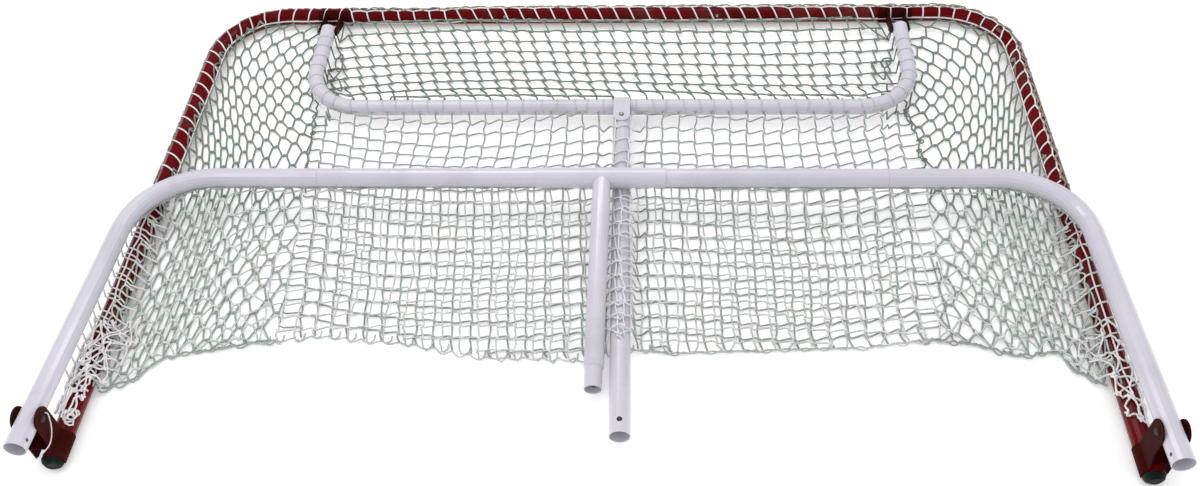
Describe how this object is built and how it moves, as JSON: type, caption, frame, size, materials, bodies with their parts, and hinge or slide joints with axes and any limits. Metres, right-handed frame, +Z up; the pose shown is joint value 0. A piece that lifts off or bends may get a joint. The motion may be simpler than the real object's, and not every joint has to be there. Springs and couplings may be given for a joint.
{
  "type": "folding ice hockey goal",
  "caption": "Folding tubular steel ice hockey goal with a knotted net, folded flat on its front face, with hinged base, shelf and rear upright.",
  "frame": {"origin": "on the floor, at the bottom centre of the folded goal's bounding box", "axes": "+X to the right across the goal as seen from the post feet, +Y from the post feet towards the crossbar, +Z up from the floor, which is the goal's rearward direction when it stands"},
  "size_m": [1.95, 1.2889, 0.1277],
  "materials": {
    "red_enamel": "gloss",
    "dark_red_enamel": "gloss",
    "white_enamel": "gloss",
    "black_plastic": "matte",
    "zinc": "plated",
    "dark_steel": "dark plated",
    "net_twine": "braided twine"
  },
  "bodies": {
    "front_frame": {"crossbar": "red_enamel", "post_left": "red_enamel", "post_right": "red_enamel", "foot_plug_left": "black_plastic", "foot_plug_right": "black_plastic", "seam_rivet_left": "zinc", "seam_rivet_right": "zinc", "base_bracket_left": "dark_red_enamel", "base_bracket_right": "dark_red_enamel", "pivot_bolt_left": "dark_steel", "pivot_bolt_right": "dark_steel", "pivot_nut_left": "dark_steel", "pivot_nut_right": "dark_steel", "shelf_bracket_left": "dark_red_enamel", "shelf_bracket_right": "dark_red_enamel", "shelf_bolt_left": "dark_steel", "shelf_bolt_right": "dark_steel", "shelf_nut_left": "dark_steel", "shelf_nut_right": "dark_steel", "net_side_left": "net_twine", "net_side_right": "net_twine"},
    "base": {"base_rail": "white_enamel", "base_tube_left": "white_enamel", "base_tube_right": "white_enamel", "net_slack_left": "net_twine", "net_slack_right": "net_twine"},
    "riser": {"tee_sleeve": "white_enamel", "riser_tube": "white_enamel", "snap_spring": "zinc"},
    "button": {"snap_button": "zinc"},
    "shelf": {"shelf_tube": "white_enamel", "net_top": "net_twine"},
    "strap": {"upright_strap": "white_enamel"},
    "upright": {"upright_tube": "white_enamel", "strap_bolt": "dark_steel", "strap_nut": "dark_steel", "net_back": "net_twine"}
  },
  "joints": [
    {"name": "base_fold", "type": "hinge", "parent": "front_frame", "child": "base", "pos_m": [0, -0.5794, 0.105], "axis": [1, 0, 0], "range_deg": [0, 94.48], "deforming": ["net_slack_left", "net_slack_right"]},
    {"name": "riser_swing", "type": "hinge", "parent": "base", "child": "riser", "pos_m": [0, 0.0276, 0.069], "axis": [-1, 0, 0], "range_deg": [0, 299.54]},
    {"name": "button_press", "type": "slide", "parent": "riser", "child": "button", "axis": [0.0004, 0.0981, -0.9952], "range_m": [-0.0045, 0], "stiffness_N_per_m": 900},
    {"name": "shelf_fold", "type": "hinge", "parent": "front_frame", "child": "shelf", "pos_m": [0, 0.5416, 0.04], "axis": [-1, 0, 0], "range_deg": [0, 108.25], "deforming": ["net_top", "net_side_left", "net_side_right"]},
    {"name": "strap_turn", "type": "hinge", "parent": "shelf", "child": "strap", "pos_m": [0.0395, 0.2836, 0.03], "axis": [1, 0, 0], "range_deg": [0, 88.09]},
    {"name": "upright_swivel", "type": "hinge", "parent": "strap", "child": "upright", "pos_m": [0.0395, 0.2376, 0.02942], "axis": [0, 0.0126, -0.9999], "range_deg": [0, 3.71], "deforming": ["net_back"]}
  ],
  "couplings": [
    {"joint": "riser_swing", "follows": "base_fold", "ratio": 3.1705},
    {"joint": "shelf_fold", "follows": "base_fold", "ratio": 1.1458},
    {"joint": "strap_turn", "follows": "base_fold", "ratio": 0.93244},
    {"joint": "upright_swivel", "follows": "base_fold", "ratio": 0.03922}
  ]
}
